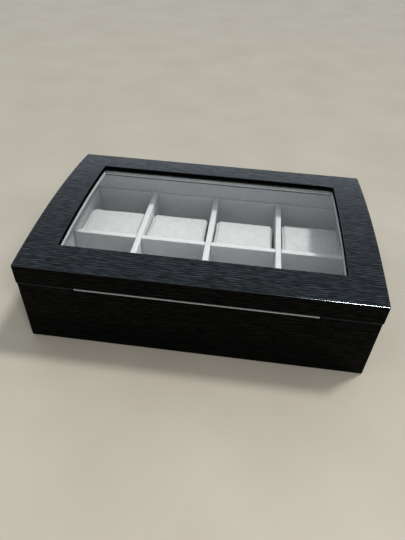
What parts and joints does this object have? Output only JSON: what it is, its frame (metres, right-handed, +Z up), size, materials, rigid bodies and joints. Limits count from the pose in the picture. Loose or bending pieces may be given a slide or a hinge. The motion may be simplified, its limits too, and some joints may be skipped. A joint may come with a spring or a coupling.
{
  "type": "watch box",
  "caption": "Low rectangular watch box: a hinged lid with a gently arched glass window over divided, cloth-lined compartments with loose watch cushions.",
  "frame": {"origin": "on the surface the box stands on, under the middle of the base", "axes": "+X along the box's length, to the right for someone facing its front; +Y from the front to the hinged back; +Z up"},
  "size_m": [0.3302, 0.2196, 0.0988],
  "materials": {
    "black_veneer": "satin black lacquer over open-pored veneer",
    "grey_suede": "short-napped suede cloth",
    "cushion_suede": "short-napped suede cloth over foam",
    "clear_glass": "clear, polished",
    "strip_metal": "fine brushed along its length",
    "hinge_metal": "satin nickel",
    "screw_steel": "bright plated",
    "black_felt": "felt",
    "bare_board": "bare fibreboard"
  },
  "bodies": {
    "base": {"base_back_lining": "grey_suede", "base_back_wall": "black_veneer", "base_bottom_panel": "bare_board", "base_floor_lining": "grey_suede", "base_front_lining": "grey_suede", "base_front_wall": "black_veneer", "base_hinge_screws": "screw_steel", "base_left_lining": "grey_suede", "base_left_wall": "black_veneer", "base_right_lining": "grey_suede", "base_right_wall": "black_veneer", "insert_back_wall": "grey_suede", "insert_front_wall": "grey_suede", "insert_left_wall": "grey_suede", "insert_right_wall": "grey_suede", "left_hinge_base_leaf": "hinge_metal", "left_hinge_pin": "hinge_metal", "left_short_divider": "grey_suede", "long_divider": "grey_suede", "middle_short_divider": "grey_suede", "right_hinge_base_leaf": "hinge_metal", "right_hinge_pin": "hinge_metal", "right_short_divider": "grey_suede", "underside_felt": "black_felt"},
    "lid": {"back_glass_retainer": "grey_suede", "front_glass_retainer": "grey_suede", "left_glass_retainer": "grey_suede", "left_hinge_lid_leaf": "hinge_metal", "lid_back_lining": "grey_suede", "lid_back_wall": "black_veneer", "lid_front_lining": "grey_suede", "lid_front_wall": "black_veneer", "lid_hinge_screws": "screw_steel", "lid_left_lining": "grey_suede", "lid_left_wall": "black_veneer", "lid_right_lining": "grey_suede", "lid_right_wall": "black_veneer", "lid_top_panel": "black_veneer", "lift_strip": "strip_metal", "right_glass_retainer": "grey_suede", "right_hinge_lid_leaf": "hinge_metal", "window_glass": "clear_glass"},
    "back_cushion_1": {"back_cushion_1": "cushion_suede"},
    "back_cushion_2": {"back_cushion_2": "cushion_suede"},
    "back_cushion_3": {"back_cushion_3": "cushion_suede"},
    "back_cushion_4": {"back_cushion_4": "cushion_suede"},
    "front_cushion_1": {"front_cushion_1": "cushion_suede"},
    "front_cushion_2": {"front_cushion_2": "cushion_suede"},
    "front_cushion_3": {"front_cushion_3": "cushion_suede"},
    "front_cushion_4": {"front_cushion_4": "cushion_suede"}
  },
  "joints": [
    {"name": "lid_hinge", "type": "hinge", "parent": "base", "child": "lid", "pos_m": [0, 0.1073, 0.0711], "axis": [-1, 0, 0], "range_deg": [0, 95]},
    {"name": "back_cushion_1_lift", "type": "slide", "parent": "base", "child": "back_cushion_1", "axis": [0, 0, 1], "range_m": [0, 0.034]},
    {"name": "back_cushion_2_lift", "type": "slide", "parent": "base", "child": "back_cushion_2", "axis": [0, 0, 1], "range_m": [0, 0.034]},
    {"name": "back_cushion_3_lift", "type": "slide", "parent": "base", "child": "back_cushion_3", "axis": [0, 0, 1], "range_m": [0, 0.034]},
    {"name": "back_cushion_4_lift", "type": "slide", "parent": "base", "child": "back_cushion_4", "axis": [0, 0, 1], "range_m": [0, 0.034]},
    {"name": "front_cushion_1_lift", "type": "slide", "parent": "base", "child": "front_cushion_1", "axis": [0, 0, 1], "range_m": [0, 0.034]},
    {"name": "front_cushion_2_lift", "type": "slide", "parent": "base", "child": "front_cushion_2", "axis": [0, 0, 1], "range_m": [0, 0.034]},
    {"name": "front_cushion_3_lift", "type": "slide", "parent": "base", "child": "front_cushion_3", "axis": [0, 0, 1], "range_m": [0, 0.034]},
    {"name": "front_cushion_4_lift", "type": "slide", "parent": "base", "child": "front_cushion_4", "axis": [0, 0, 1], "range_m": [0, 0.034]}
  ]
}
